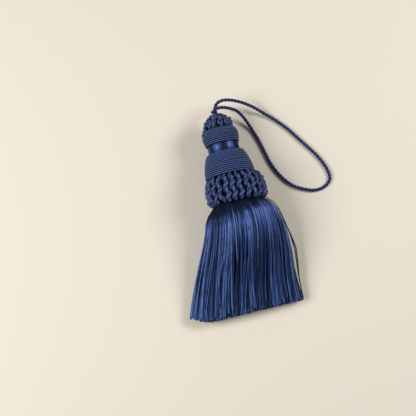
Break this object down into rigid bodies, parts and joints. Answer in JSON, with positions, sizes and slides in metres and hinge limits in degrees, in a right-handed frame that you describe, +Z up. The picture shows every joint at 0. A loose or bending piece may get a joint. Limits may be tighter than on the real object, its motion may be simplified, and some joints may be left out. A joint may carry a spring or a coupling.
{
  "type": "tassel",
  "caption": "Navy tassel lying on its side: crocheted cap, wound head with a satin waist, knotted ruff, long floss skirt and a hanging cord loop.",
  "frame": {"origin": "on the surface that the tassel rests on, under the middle of the tassel without its loop", "axes": "+Z up; +Y along the head's axis, from the skirt to the cap; +X to the right, seen from above with the cap away"},
  "size_m": [0.1448, 0.1749, 0.0479],
  "materials": {
    "viscose_cord": "twisted viscose cord, soft sheen",
    "viscose_winding": "tight cord winding, matt with a faint sheen",
    "viscose_floss": "straight satin floss, silky sheen"
  },
  "bodies": {
    "root": {"crocheted_cap": "viscose_cord", "upper_winding": "viscose_winding", "satin_waist": "viscose_floss", "bell_winding": "viscose_winding", "knotted_ruff": "viscose_cord", "floss_skirt": "viscose_floss", "hanging_cord": "viscose_cord"}
  },
  "joints": []
}
